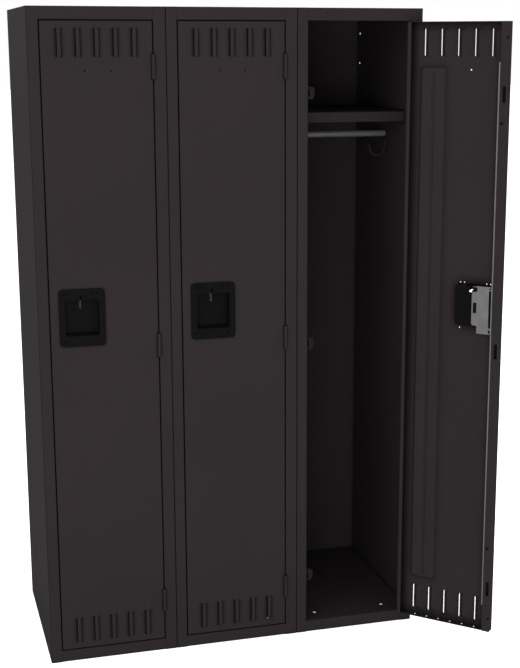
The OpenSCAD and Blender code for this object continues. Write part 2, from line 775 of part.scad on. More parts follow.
module handle_cup(i) {
  slope = 5;
  pocket = 6;
  color(black_plastic) on_door(i) {
    difference() {
      union() {
        facing(-cup_plate_t, 0)
          rounded(cup_x - cup_w / 2, cup_x + cup_w / 2, cup_z - cup_h / 2, cup_z + cup_h / 2, cup_r);
        facing(-eps, box_y1)
          rounded(recess_x0 - cup_wall, recess_x1 + cup_wall, recess_z0 - cup_wall, box_z1, recess_r + cup_wall);
        for (side = [-1, 1], z = [cup_z - 24, cup_z + 24]) translate([0, 0, z]) snap_wedge(side);
      }
      difference() {
        facing(-cup_plate_t - 1, box_y1 - cup_wall) rounded(recess_x0, recess_x1, recess_z0, recess_z1, recess_r);
        // the floor of the recess slopes up towards the back
        along_x(recess_x0 - 1, recess_x1 + 1)
          polygon([[recess_z0 - 1, 2], [recess_z0, 2], [recess_z0 + slope, box_y1], [recess_z0 - 1, box_y1]]);
      }
      // slit for the hasp, up through the top of the recess, wider behind the face plate
      box(hasp_x - hasp_slit / 2, hasp_x + hasp_slit / 2, -cup_plate_t - 1, box_y1 + 1, hasp_z0 - 1, slit_z1);
      box(hasp_x - hasp_slit / 2, hasp_x + hasp_slit / 2 + pocket, 2, box_y1 + 1, recess_z1 - 4, slit_z1);
      at_lock_holes(-cup_plate_t - 1, eps);
    }
  }
}

module bar_guides(i) {
  pin_r = 2.5;
  color(nylon) on_door(i) for (z = guide_z) {
    facing(bar_y0 - 4.3, bar_y0 - 0.3) rounded(guide_x - 8, guide_x + 8, z - 9, z + 9, 3);
    pin_y(pin_r, bar_y0 - 1, door_depth + 0.3, guide_x, z);
    pin_y(3.2, door_depth + 0.1, door_depth + 1, guide_x, z);
  }
}

// ---------- latches ----------

module lock_bar(i) {
  guide_half = 3;
  notch_half = slot_h / 2 + notch_play;
  color(zinc) on_door(i) difference() {
    facing(bar_y0, bar_y1) rounded(bar_x0, bar_x1, hook_lo - bar_tail, hook_hi + bar_head, 2);
    // notches for the frame hooks, open to the latch edge and dark behind the slots in the lip
    for (z = hook_z) facing(bar_y0 - 1, bar_y1 + 1) translate([bar_x0 - 1, z - notch_half])
      square([slot_x + slot_w / 2 + 1 - bar_x0 + 1, 2 * notch_half]);
    for (z = guide_z) facing(bar_y0 - 1, bar_y1 + 1)
      rounded(guide_x - guide_half, guide_x + guide_half, z - guide_half - latch_lift - 0.5, z + guide_half + 0.5, 2.9);
  }
}

// Face of the lift bracket: a plate on the bar, a tab that carries the hasp and a thin arm above it
module bracket_face() {
  x0 = lip_x1 + 0.4;
  step_x = cup_x - 15.3;
  x1 = hasp_x + hasp_t / 2;
  z1 = box_z1 + 1.5;
  z0 = z1 - bracket_h;
  tab_z0 = z0 + 18.6;
  tab_z1 = z1 - 13.8;
  tab_r = 8;
  bevel = 4;
  slit_w = 4.1;
  difference() {
    union() {
      rounded(x0, step_x, z0, z1, 1);
      // arm
      polygon([[step_x - 1, z1 - 4.3], [step_x - 1, z1 - 0.3], [step_x, z1 - 0.3], [x1, z1 - 2.4], [x1, z1 - 3.6]]);
      // tab, its upper corner rounded and its lower one bevelled
      polygon([
        [step_x - 1, tab_z0], [x1 - bevel, tab_z0], [x1, tab_z0 + bevel], [x1, tab_z1 - tab_r],
        [x1 - tab_r, tab_z1], [step_x - 1, tab_z1]
      ]);
      translate([x1 - tab_r, tab_z1 - tab_r]) circle(r = tab_r);
    }
    // long slot beside the bar, with square holes above and below it
    translate([bar_x1, z0 + 15.8]) square([slit_w, 88.4]);
    for (z = [z0 + 3.6, z0 + 7.8, z1 - 6.8]) translate([bar_x1, z]) square([slit_w, 2.8]);
    rounded(step_x + 1.4, step_x + 8.4, tab_z0 + 31, tab_z0 + 55, 1);
  }
}

module lift_bracket(i) {
  x1 = hasp_x + hasp_t / 2;
  y1 = bracket_y0 + bracket_t;
  color(zinc) on_door(i) {
    facing(bracket_y0, y1) bracket_face();
    difference() {
      box(x1 - hasp_t, x1, hasp_y0, bracket_y0 + eps, hasp_z0, hasp_z0 + hasp_h);
      pin_x(eye_d / 2, x1 - hasp_t - 1, x1 + 1, hasp_y0 + 7.5, hasp_z0 + hasp_h / 2);
    }
  }
}

// ---------- output ----------

side_sheet(0);  // side_sheet_left
side_sheet(1);  // divider_left
side_sheet(2);  // divider_right
side_sheet(3);  // side_sheet_right
for (i = [0 : unit_count - 1]) {
  frame(i);
  back(i);
  top(i);
  bottom(i);
  hat_shelf(i);
  coat_rod(i);
  wall_hooks(i);
  frame_hooks(i);
  frame_leaves(i);
  hinge_pins(i);
  door(i);
  stiffener(i);
  handle_cup(i);
  door_leaves(i);
  bar_guides(i);
  lock_bar(i);
  lift_bracket(i);
}
silencers();
joining_bolts();
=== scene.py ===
"""Dresses the locker cabinet: its louvred door pans, its finishes, and the studio it stands in."""

import json
import logging
import math
from dataclasses import dataclass, field
from enum import Enum

import bpy
import numpy as np
from mathutils import Euler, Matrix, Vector


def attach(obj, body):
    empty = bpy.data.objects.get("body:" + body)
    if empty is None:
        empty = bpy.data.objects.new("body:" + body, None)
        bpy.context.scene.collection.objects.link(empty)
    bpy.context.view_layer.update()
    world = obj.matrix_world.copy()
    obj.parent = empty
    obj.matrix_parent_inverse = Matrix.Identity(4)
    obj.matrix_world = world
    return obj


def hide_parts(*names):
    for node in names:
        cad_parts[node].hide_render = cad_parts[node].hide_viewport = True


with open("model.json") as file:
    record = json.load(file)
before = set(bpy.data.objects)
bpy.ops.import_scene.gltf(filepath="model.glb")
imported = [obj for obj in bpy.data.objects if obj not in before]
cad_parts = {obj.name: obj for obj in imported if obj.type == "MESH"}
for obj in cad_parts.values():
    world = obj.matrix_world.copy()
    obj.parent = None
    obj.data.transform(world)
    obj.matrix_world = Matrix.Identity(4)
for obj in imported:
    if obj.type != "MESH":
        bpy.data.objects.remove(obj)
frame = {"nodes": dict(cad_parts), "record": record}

LOG = logging.getLogger("locker_cabinet")
MM = 0.001
HAIR = 1e-6
LINE_DIGITS = 6
WELD_DIGITS = 7
NOISE_LOW, NOISE_HIGH = 0.3, 0.7
EDGE_SAMPLES = 4
OPEN_SAMPLES = 8
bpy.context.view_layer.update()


class Side(Enum):
    """The three lockers of the cabinet, from left to right."""

    LEFT = "left"
    MIDDLE = "middle"
    RIGHT = "right"

    @property
    def index(self) -> int:
        """Place of the locker in the row, from 0."""
        return list(Side).index(self)


# ---------------------------------------------------------------- node helpers


@dataclass
class NodeGraph:
    """Small wrapper that adds and joins the nodes of one material or world."""

    tree: bpy.types.NodeTree

    def add(self, kind: str, **sockets: object) -> bpy.types.Node:
        """Adds a node and sets its inputs or attributes.

        Args:
            kind: Blender's name of the node type.
            **sockets: Input sockets by name with underscores for spaces, or attributes of the node.

        Returns:
            The new node.
        """
        node = self.tree.nodes.new(kind)
        for name, value in sockets.items():
            if hasattr(node, name):
                setattr(node, name, value)
            else:
                node.inputs[name.replace("_", " ")].default_value = value
        return node

    def join(self, source: bpy.types.NodeSocket, target: bpy.types.NodeSocket) -> None:
        """Links an output to an input."""
        self.tree.links.new(source, target)

    def noise(
        self, where: bpy.types.NodeSocket, scale: float, detail: float = 2.0, stretch: Vector | None = None
    ) -> bpy.types.NodeSocket:
        """Adds a noise pattern in object space.

        Args:
            where: The coordinates it reads.
            scale: Cells per metre.
            detail: Octaves of finer noise.
            stretch: Scale of each axis, for brushed patterns.

        Returns:
            The pattern's value, from 0 to 1.
        """
        if stretch is not None:
            mapping = self.add("ShaderNodeMapping", Scale=stretch)
            self.join(where, mapping.inputs["Vector"])
            where = mapping.outputs["Vector"]
        node = self.add("ShaderNodeTexNoise", Scale=scale, Detail=detail)
        self.join(where, node.inputs["Vector"])
        return node.outputs["Fac"]

    def vary(self, pattern: bpy.types.NodeSocket, low: float, high: float) -> bpy.types.NodeSocket:
        """Maps the usual range of a noise pattern to another range, clamped at both ends.

        Args:
            pattern: The noise.
            low: Result where the noise is low.
            high: Result where it is high.

        Returns:
            The varying value.
        """
        node = self.add("ShaderNodeMapRange", From_Min=NOISE_LOW, From_Max=NOISE_HIGH, To_Min=low, To_Max=high)
        self.join(pattern, node.inputs["Value"])
        return node.outputs["Result"]

    def maths(
        self, operation: str, first: bpy.types.NodeSocket, second: bpy.types.NodeSocket | float
    ) -> bpy.types.NodeSocket:
        """Combines two varying values, or one with a number.

        Args:
            operation: Blender's name of the operation.
            first: The first value.
            second: The second value, or a number.

        Returns:
            The result.
        """
        node = self.add("ShaderNodeMath", operation=operation)
        self.join(first, node.inputs[0])
        if isinstance(second, float):
            node.inputs[1].default_value = second
        else:
            self.join(second, node.inputs[1])
        return node.outputs[0]

    def openness(self, reach: float, power: float, **options: bool) -> bpy.types.NodeSocket:
        """How open the surroundings of a point are: ambient occlusion, raised to a power.

        Args:
            reach: How far it looks, in metres.
            power: The power; more than 1 deepens the dark.
            **options: Further attributes of the occlusion node.

        Returns:
            The share, 1 where nothing is near.
        """
        node = self.add("ShaderNodeAmbientOcclusion", samples=OPEN_SAMPLES, Distance=reach, **options)
        return self.maths("POWER", node.outputs["AO"], power)

    def scaled(self, colour: tuple[float, float, float], factor: bpy.types.NodeSocket) -> bpy.types.NodeSocket:
        """Multiplies a colour by a varying factor.

        Args:
            colour: The colour, linear.
            factor: What it is multiplied by at each point.

        Returns:
            The varying colour.
        """
        node = self.add("ShaderNodeVectorMath", operation="SCALE")
        node.inputs[0].default_value = colour
        self.join(factor, node.inputs["Scale"])
        return node.outputs["Vector"]

    def relief(
        self, pattern: bpy.types.NodeSocket, height: float, strength: float, edge_radius: float
    ) -> bpy.types.NodeSocket:
        """Rounds the shading of sharp edges and lays a fine bump over it.

        Args:
            pattern: The bump's pattern.
            height: Height of the bump, in metres.
            strength: Share of it that is used.
            edge_radius: Radius of the rounded edges, in metres.

        Returns:
            The normal.
        """
        bevel = self.add("ShaderNodeBevel", samples=EDGE_SAMPLES, Radius=edge_radius)
        node = self.add("ShaderNodeBump", Strength=strength, Distance=height)
        self.join(pattern, node.inputs["Height"])
        self.join(bevel.outputs["Normal"], node.inputs["Normal"])
        return node.outputs["Normal"]


def new_material(name: str) -> tuple[bpy.types.Material, NodeGraph, bpy.types.Node, bpy.types.NodeSocket]:
    """Starts a material.

    Args:
        name: Its name.

    Returns:
        The material, its graph, its shader, and the object coordinates.
    """
    material = bpy.data.materials.new(name)
    material.use_nodes = True
    graph = NodeGraph(material.node_tree)
    shader = next(n for n in material.node_tree.nodes if n.type == "BSDF_PRINCIPLED")
    return material, graph, shader, graph.add("ShaderNodeTexCoord").outputs["Object"]


# ---------------------------------------------------------------- finishes


@dataclass(frozen=True)
class PowderCoat:
    """Powder coat on sheet steel: an even colour with fine orange peel, and painted shade in its recesses and corners.
    """

    name: str
    colour: tuple[float, float, float]
    roughness: float = 0.7
    specular: float = 0.02
    rough_span: tuple[float, float] = (-0.04, 0.05)
    edge_radius: float = 0.6 * MM
    cloud_scale: float = 2.6
    cloud_shade: tuple[float, float] = (0.94, 1.06)
    mottle_scale: float = 420.0
    mottle_shade: tuple[float, float] = (0.95, 1.05)
    peel_scale: float = 520.0
    peel_height: float = 0.04 * MM
    peel_share: float = 0.5
    # Reach and power of the painted shade: ambient occlusion multiplied into the colour.
    painted_shade_reach: float = 18.0 * MM
    painted_shade_power: float = 1.7

    def material(self) -> bpy.types.Material:
        """Builds the finish.

        Returns:
            The material.
        """
        material, graph, shader, where = new_material(self.name)
        cloud = graph.noise(where, self.cloud_scale, 3.0)
        mottle = graph.noise(where, self.mottle_scale)
        shade = graph.maths(
            "MULTIPLY", graph.vary(cloud, *self.cloud_shade), graph.vary(mottle, *self.mottle_shade)
        )
        # Painted shade: the random tone is darkened by ambient occlusion in recesses, creases and corners.
        tone_with_painted_shade = graph.maths("MULTIPLY", shade, graph.openness(self.painted_shade_reach, self.painted_shade_power))
        graph.join(graph.scaled(self.colour, tone_with_painted_shade), shader.inputs["Base Color"])
        rough = graph.vary(cloud, *(self.roughness + change for change in self.rough_span))
        graph.join(rough, shader.inputs["Roughness"])
        shader.inputs["Specular IOR Level"].default_value = self.specular
        peel = graph.noise(where, self.peel_scale, 1.5)
        normal = graph.relief(peel, self.peel_height, self.peel_share, self.edge_radius)
        graph.join(normal, shader.inputs["Normal"])
        return material


@dataclass(frozen=True)
class ZincPlate:
    """Bright zinc plate on pressed steel, faintly brushed along its length, with painted shade on its edges."""

    name: str
    colour: tuple[float, float, float]
    roughness: float = 0.52
    metallic: float = 0.45
    specular: float = 0.2
    rough_span: tuple[float, float] = (-0.07, 0.1)
    edge_radius: float = 0.3 * MM
    bloom_scale: float = 35.0
    bloom_shade: tuple[float, float] = (0.86, 1.1)
    brush_scale: float = 60.0
    brush_stretch: tuple[float, float, float] = (30.0, 30.0, 0.6)
    brush_height: float = 0.02 * MM
    brush_share: float = 0.4
    # Reach and power of the painted shade on the edges, from occlusion measured inside the metal.
    painted_edge_shade_reach: float = 1.18 * MM
    painted_edge_shade_power: float = 5.0

    def material(self) -> bpy.types.Material:
        """Builds the finish.

        Returns:
            The material.
        """
        material, graph, shader, where = new_material(self.name)
        bloom = graph.noise(where, self.bloom_scale, 3.0)
        brushed = graph.noise(where, self.brush_scale, stretch=Vector(self.brush_stretch))
        # Painted shade: occlusion inside the metal darkens its edges and thinnest parts, such as a hasp's edge in its
        # cup.
        painted_edge_shade = graph.openness(self.painted_edge_shade_reach, self.painted_edge_shade_power, inside=True, only_local=True)
        shade = graph.maths("MULTIPLY", graph.vary(bloom, *self.bloom_shade), painted_edge_shade)
        graph.join(graph.scaled(self.colour, shade), shader.inputs["Base Color"])
        rough = graph.vary(bloom, *(self.roughness + change for change in self.rough_span))
        graph.join(rough, shader.inputs["Roughness"])
        shader.inputs["Metallic"].default_value = self.metallic
        shader.inputs["Specular IOR Level"].default_value = self.specular
        normal = graph.relief(brushed, self.brush_height, self.brush_share, self.edge_radius)
        graph.join(normal, shader.inputs["Normal"])
        return material


@dataclass(frozen=True)
class MouldedPolymer:
    """Moulded plastic or rubber with a fine spark-eroded grain."""

    name: str
    colour: tuple[float, float, float]
    roughness: float = 0.5
    specular: float = 0.04
    rough_span: tuple[float, float] = (-0.05, 0.06)
    edge_radius: float = 0.8 * MM
    haze_scale: float = 18.0
    haze_shade: tuple[float, float] = (0.85, 1.2)
    grain_scale: float = 900.0
    grain_height: float = 0.03 * MM
    grain_share: float = 0.6

    def material(self) -> bpy.types.Material:
        """Builds the finish.

        Returns:
            The material.
        """
        material, graph, shader, where = new_material(self.name)
        grain = graph.noise(where, self.grain_scale)
        haze = graph.noise(where, self.haze_scale)
        graph.join(graph.scaled(self.colour, graph.vary(haze, *self.haze_shade)), shader.inputs["Base Color"])
        rough = graph.vary(haze, *(self.roughness + change for change in self.rough_span))
        graph.join(rough, shader.inputs["Roughness"])
        shader.inputs["Specular IOR Level"].default_value = self.specular
        normal = graph.relief(grain, self.grain_height, self.grain_share, self.edge_radius)
        graph.join(normal, shader.inputs["Normal"])
        return material


# ---------------------------------------------------------------- numpy meshes


@dataclass
class Sheet:
    """Vertices and faces gathered from several grids, as whole arrays."""

    points: list[np.ndarray] = field(default_factory=list)
    quads: list[np.ndarray] = field(default_factory=list)
    count: int = 0

    def add_grid(self, grid: np.ndarray, flip: bool = False, keep: np.ndarray | None = None) -> None:
        """Adds a surface given on a grid of two parameters.

        Args:
            grid: Points, shaped (rows, columns, 3).
            flip: Turns its faces round.
            keep: Which cells have a face, shaped (rows - 1, columns - 1).
        """
        rows, columns = grid.shape[:2]
        index = np.arange(rows * columns).reshape(rows, columns) + self.count
        corners = np.stack([index[:-1, :-1], index[:-1, 1:], index[1:, 1:], index[1:, :-1]], axis=-1)
        if keep is not None:
            corners = corners[keep]
        corners = corners.reshape(-1, 4)
        self.quads.append(corners[:, ::-1] if flip else corners)
        self.points.append(grid.reshape(-1, 3))
        self.count += rows * columns

    def welded(self) -> tuple[np.ndarray, np.ndarray]:
        """Merges vertices that share a place and drops those no face uses.

        Returns:
            The vertices and the faces.
        """
        points = np.concatenate(self.points)
        quads = np.concatenate(self.quads)
        _, first, inverse = np.unique(np.round(points, WELD_DIGITS), axis=0, return_index=True, return_inverse=True)
        quads = inverse.reshape(-1)[quads]
        used, compact = np.unique(quads, return_inverse=True)
        return points[first][used], compact.reshape(quads.shape)


def mesh_from(name: str, points: np.ndarray, quads: np.ndarray) -> bpy.types.Mesh:
    """Puts arrays into a new mesh.

    Args:
        name: Its name.
        points: Vertices, shaped (n, 3).
        quads: Faces, shaped (m, 4).

    Returns:
        The mesh.
    """
    mesh = bpy.data.meshes.new(name)
    mesh.vertices.add(len(points))
    mesh.vertices.foreach_set("co", points.astype(np.float32).ravel())
    mesh.loops.add(quads.size)
    mesh.loops.foreach_set("vertex_index", quads.astype(np.int32).ravel())
    mesh.polygons.add(len(quads))
    mesh.polygons.foreach_set("loop_start", np.arange(0, quads.size, 4, dtype=np.int32))
    mesh.update(calc_edges=True)
    mesh.validate()
    return mesh


def spaced(*stops: float, step: float) -> np.ndarray:
    """Lines of a grid: every stop, and even steps between two stops that lie more than a step apart.

    Args:
        *stops: Places that need a line.
        step: Widest spacing.

    Returns:
        The places in rising order.
    """
    edges = np.unique(np.round(np.array(stops), LINE_DIGITS))
    runs = [
        np.linspace(low, high, max(int(math.ceil((high - low) / step)), 1), endpoint=False)
        for low, high in zip(edges[:-1], edges[1:])
    ]
    return np.concatenate(runs + [edges[-1:]])


def smooth_step(value: np.ndarray) -> np.ndarray:
    """Eases from 0 to 1: the cubic 3v^2 - 2v^3 of the clamped value."""
    value = np.clip(value, 0.0, 1.0)
    return value * value * (3.0 - 2.0 * value)


def rounded_outline(x0: float, x1: float, z0: float, z1: float, radius: float, steps: int = 6) -> np.ndarray:
    """Outline of a rectangle with round corners: a quarter circle about each corner's centre, one after another.

    Args:
        x0: Left edge.
        x1: Right edge.
        z0: Lower edge.
        z1: Upper edge.
        radius: Radius of the corners.
        steps: Chords in each corner.

    Returns:
        Points, shaped (n, 2), anticlockwise.
    """
    left, right, low, high = x0 + radius, x1 - radius, z0 + radius, z1 - radius
    centres = np.array([(right, high), (left, high), (left, low), (right, low)])
    turn = np.linspace(0.0, math.pi / 2.0, steps + 1)[None, :] + np.arange(4)[:, None] * math.pi / 2.0
    ring = centres[:, None, :] + radius * np.stack([np.cos(turn), np.sin(turn)], axis=-1)
    return ring.reshape(-1, 2)


def round_outline(x: float, z: float, radius: float, sides: int = 32) -> np.ndarray:
    """Outline of a circle, as points round its centre."""
    turn = np.linspace(0.0, 2.0 * math.pi, sides, endpoint=False)
    return np.stack([x + radius * np.cos(turn), z + radius * np.sin(turn)], axis=1)


@dataclass
class Punch:
    """Closed prisms, gathered in one mesh, that cut every hole of a sheet at once."""

    points: list[np.ndarray] = field(default_factory=list)
    faces: list[list[int]] = field(default_factory=list)
    count: int = 0

    def through(self, outline: np.ndarray, low: float, high: float, upright: bool = False) -> None:
        """Adds a prism whose outline is carried from one end to the other.

        Args:
            outline: Points in X and Z for a hole along Y, or in X and Y for one along Z, anticlockwise.
            low: One end.
            high: The other end.
            upright: True for a hole along Z.
        """
        sides = len(outline)
        ends = []
        for level in (low, high):
            third = np.full((sides, 1), level)
            columns = [outline, third] if upright else [outline[:, :1], third, outline[:, 1:]]
            ends.append(np.concatenate(columns, axis=1))
        ring = np.arange(sides)
        ahead = (ring + 1) % sides
        walls = np.stack([ring, ahead, ahead + sides, ring + sides], axis=1)
        caps = [ring[::-1], ring + sides]
        turned = [face[::-1] for face in (*walls, *caps)] if not upright else [*walls, *caps]
        self.faces += [(face + self.count).tolist() for face in turned]
        self.points += ends
        self.count += 2 * sides

    def object(self, name: str) -> bpy.types.Object:
        """Makes the cutting object, which is taken away again once it has cut.

        Args:
            name: Its name.

        Returns:
            The object.
        """
        mesh = bpy.data.meshes.new(name)
        mesh.from_pydata(np.concatenate(self.points).tolist(), [], self.faces)
        mesh.update()
        return bpy.data.objects.new(name, mesh)


# ---------------------------------------------------------------- cabinet


@dataclass
class Cabinet:
    """Sizes shared by the pieces that are fitted over the cabinet."""

    total_w: float = 914.4 * MM
    height: float = 1524.0 * MM
    side_t: float = 0.8 * MM
    rail_h: float = 28.6 * MM
    latch_stile: float = 25.0 * MM
    hinge_stile: float = 28.0 * MM
    gap: float = 1.6 * MM
    axis_out: float = 0.5 * MM
    right_angle: float = 135.0
    rail_return: float = 16.0 * MM

    @property
    def pitch(self) -> float:
        """Distance from one side sheet to the next."""
        return (self.total_w - self.side_t) / 3.0

    @property
    def clear_w(self) -> float:
        """Width between two side sheets."""
        return self.pitch - self.side_t

    @property
    def axis(self) -> tuple[float, float]:
        """X and Y of the hinge axis in a locker's own frame."""
        return self.clear_w - self.hinge_stile - self.gap / 2.0, -self.axis_out

    def placed(self, points: np.ndarray, side: Side) -> np.ndarray:
        """Moves points from a door's own frame, where it is shut, to where it stands at rest.

        The door turns about its hinge axis: p' = axis + R(angle) (p - axis), then shifts with its locker.

        Args:
            points: Vertices in the door's frame, shaped (n, 3).
            side: The locker.

        Returns:
            The moved vertices.
        """
        angle = math.radians(self.right_angle) if side is Side.RIGHT else 0.0
        ax, ay = self.axis
        x, y = points[:, 0] - ax, points[:, 1] - ay
        moved = points.copy()
        moved[:, 0] = (
            ax + x * math.cos(angle) - y * math.sin(angle) + side.index * self.pitch + self.side_t - self.total_w / 2.0
        )
        moved[:, 1] = ay + x * math.sin(angle) + y * math.cos(angle) - self.rail_return / 2.0
        return moved


@dataclass
class LouvredPan:
    """A door pan folded from one sheet, with its two rows of bridge louvers."""

    cabinet: Cabinet
    finish: bpy.types.Material
    sheet: float = 1.2 * MM
    inset: float = 0.3 * MM
    fold: float = 2.0 * MM
    depth: float = 22.0 * MM
    end_flange: float = 20.0 * MM
    lip: float = 18.5 * MM
    hinge_lip: float = 9.5 * MM
    louvers: int = 5
    louver_pitch: float = 41.3 * MM
    louver_len: float = 64.0 * MM
    louver_end: float = 14.7 * MM
    bridge_w: float = 8.0 * MM
    bridge_h: float = 1.9 * MM
    slot: float = 0.5 * MM
    dish_w: float = 11.2 * MM
    dish_h: float = 2.9 * MM
    bridge_slope: float = 3.6 * MM
    dish_slope: float = 3.6 * MM
    hinge_end: float = 99.5 * MM
    hinge_h: float = 54.5 * MM
    notch_r: float = 5.0 * MM
    notch_past: float = 0.9 * MM
    drains: int = 6
    drain_pitch: float = 31.7 * MM
    drain_r: float = 2.5 * MM
    plate_offsets: tuple[float, float] = (-28.0 * MM, 29.6 * MM)
    plate_drop: float = 108.1 * MM
    plate_r: float = 2.0 * MM
    drain_in: float = 8.0 * MM
    slot_inset: float = 7.5 * MM
    slot_w: float = 8.0 * MM
    slot_h: float = 36.0 * MM
    hook_low: float = 111.5 * MM
    hook_drop: float = 161.5 * MM
    cup_inset: float = 72.6 * MM
    cup_rise: float = 74.0 * MM
    cut_half: tuple[float, float] = (41.1 * MM, 44.1 * MM)
    cut_top: float = 53.3 * MM
    cut_corner: float = 8.0 * MM
    hasp_left: float = 2.8 * MM
    lock_r: float = 1.6 * MM
    lock_spans: tuple[float, float] = (27.8 * MM, 37.5 * MM)
    lock_above: float = 3.0 * MM
    lock_below: float = 9.6 * MM
    slot_corner: float = 1.5 * MM
    guide_side: float = 3.4 * MM
    guide_low: float = 105.0 * MM
    guide_high: float = 65.0 * MM
    lip_hole_side: float = -4.5 * MM
    lip_hole_end: float = 35.0 * MM
    lip_hole_r: float = 2.6 * MM
    front_reach: tuple[float, float] = (-5.0 * MM, 6.0 * MM)
    lip_reach: float = 3.0 * MM
    drain_reach: float = 4.0 * MM
    notch_front: float = -9.0 * MM
    bridge_lines: int = 5
    dish_lines: int = 11
    slope_lines: int = 9
    fold_steps: int = 6
    cell_w: float = 24.0 * MM
    cell_h: float = 60.0 * MM
    wall_cell: float = 30.0 * MM
    crease: float = 38.0
    x0: float = field(init=False)
    x1: float = field(init=False)
    z0: float = field(init=False)
    z1: float = field(init=False)
    mid_x: float = field(init=False)
    mid_z: float = field(init=False)

    def __post_init__(self) -> None:
        """Works out the edges of the door from the cabinet's sizes."""
        c = self.cabinet
        self.x0 = c.latch_stile + c.gap + self.inset
        self.x1 = c.clear_w - c.hinge_stile - c.gap - self.inset
        self.z0 = c.rail_h + c.gap + self.inset
        self.z1 = c.height - c.rail_h - c.gap - self.inset
        self.mid_x = (self.x0 + self.x1) / 2.0
        self.mid_z = (self.z0 + self.z1) / 2.0

    def louver_centres(self) -> np.ndarray:
        """X of each louver's middle."""
        return self.mid_x + (np.arange(self.louvers) - (self.louvers - 1) / 2.0) * self.louver_pitch

    def louver_rows(self) -> list[tuple[float, float]]:
        """Bottom and top of each row of louvers."""
        return [
            (self.z0 + self.louver_end, self.z0 + self.louver_end + self.louver_len),
            (self.z1 - self.louver_end - self.louver_len, self.z1 - self.louver_end),
        ]

    @staticmethod
    def dish_profile(inward: np.ndarray) -> np.ndarray:
        """Depth of a dish from its outer edge, 0, to its slit, 1: a parabola at first, then straight on."""
        bend = 0.3
        deep = np.where(inward < bend, inward * inward / (2.0 * bend), inward - bend / 2.0)
        return deep / (1.0 - bend / 2.0)

    def ends(self) -> np.ndarray:
        """Places along the slopes at a louver's end, measured from its end."""
        return np.linspace(0.0, max(self.dish_slope, self.bridge_slope), self.slope_lines)

    def fold_lines(self, low: float, high: float) -> np.ndarray:
        """Grid lines round the two folds: low + r (1 - cos a) and its mirror image, for a from 0 to 90 degrees."""
        turn = np.linspace(0.0, math.pi / 2.0, self.fold_steps + 1)
        near = low + self.fold * (1.0 - np.cos(turn))
        return np.concatenate([near, (low + high) - near])

    def fold_height(self, place: np.ndarray, low: float, high: float) -> np.ndarray:
        """Depth of the rounded edge: r - sqrt(r^2 - d^2), where d is how far a point lies past the fold's start."""
        past = np.clip(np.maximum(low + self.fold - place, place - (high - self.fold)), 0.0, self.fold)
        return self.fold - np.sqrt(self.fold**2 - past**2)

    def front(self) -> tuple[np.ndarray, np.ndarray, np.ndarray, np.ndarray]:
        """Front of the pan as a height over X and Z.

        The height is the larger of the two fold depths, plus the louvers: each bridge stands out by its height times a
        ramp along its length, and the dishes beside it sink by their profile across their width times such a ramp.

        Returns:
            X lines, Z lines, points, and which cells have sheet in them.
        """
        half = self.bridge_w / 2.0
        edge = half + self.slot
        bridge = np.linspace(0.0, half, self.bridge_lines)
        dish = edge + np.linspace(0.0, self.dish_w, self.dish_lines)
        across = np.concatenate([
            centre + sign * np.concatenate([bridge, dish]) for centre in self.louver_centres() for sign in (-1.0, 1.0)
        ])
        along = np.concatenate([
            place for low, high in self.louver_rows() for place in (low + self.ends(), high - self.ends())
        ])
        xs = spaced(*self.fold_lines(self.x0, self.x1), *across, step=self.cell_w)
        zs = spaced(*self.fold_lines(self.z0, self.z1), *along, step=self.cell_h)
        x, z = np.meshgrid(xs, zs)
        y = np.maximum(self.fold_height(x, self.x0, self.x1), self.fold_height(z, self.z0, self.z1))
        xc, zc = np.meshgrid((xs[:-1] + xs[1:]) / 2.0, (zs[:-1] + zs[1:]) / 2.0)
        keep = np.ones(xc.shape, bool)
        for low, high in self.louver_rows():
            rise = smooth_step((z - low) / self.bridge_slope) * smooth_step((high - z) / self.bridge_slope)
            sink = smooth_step((z - low) / self.dish_slope) * smooth_step((high - z) / self.dish_slope)
            for centre in self.louver_centres():
                away = np.abs(x - centre)
                y = np.where(away <= half + HAIR, y - self.bridge_h * rise, y)
                outward = np.clip((away - edge) / self.dish_w, 0.0, 1.0)
                sunk = self.dish_h * sink * self.dish_profile(1.0 - outward)
                y = np.where(away >= edge - HAIR, y + sunk, y)
                cut = (np.abs(xc - centre) > half) & (np.abs(xc - centre) < edge) & (zc > low) & (zc < high)
                keep &= ~cut
        return xs, zs, np.stack([x, y, z], axis=-1), keep

    def shell(self) -> tuple[np.ndarray, np.ndarray]:
        """The outer skin: the front, both side walls with their lips, and the end flanges, welded along their folds.

        Each side wall follows a path in X and Y: straight back from the front fold, round a quarter circle, and along
        its lip. It is carried along Z.

        Returns:
            Vertices and faces.
        """
        sheet = Sheet()
        xs, zs, front, keep = self.front()
        sheet.add_grid(front, keep=keep)
        walls = spaced(self.fold, self.end_flange, step=self.wall_cell)
        turn = np.linspace(0.0, math.pi / 2.0, self.fold_steps + 1)[1:]
        bend = self.depth - self.fold
        path_y = np.concatenate([walls, [bend], bend + self.fold * np.sin(turn), [self.depth]])
        for edge, sign, width, flip in ((self.x0, 1.0, self.lip, True), (self.x1, -1.0, self.hinge_lip, False)):
            inward = np.concatenate([np.zeros(len(walls) + 1), self.fold * (1.0 - np.cos(turn)), [width]])
            path_x = edge + sign * inward
            px, z = np.meshgrid(path_x, zs)
            py, _ = np.meshgrid(path_y, zs)
            sheet.add_grid(np.stack([px, py, z], axis=-1), flip=flip)
        for level, flip in ((self.z0, True), (self.z1, False)):
            x, y = np.meshgrid(xs, walls)
            sheet.add_grid(np.stack([x, y, np.full(x.shape, level)], axis=-1), flip=flip)
        return sheet.welded()

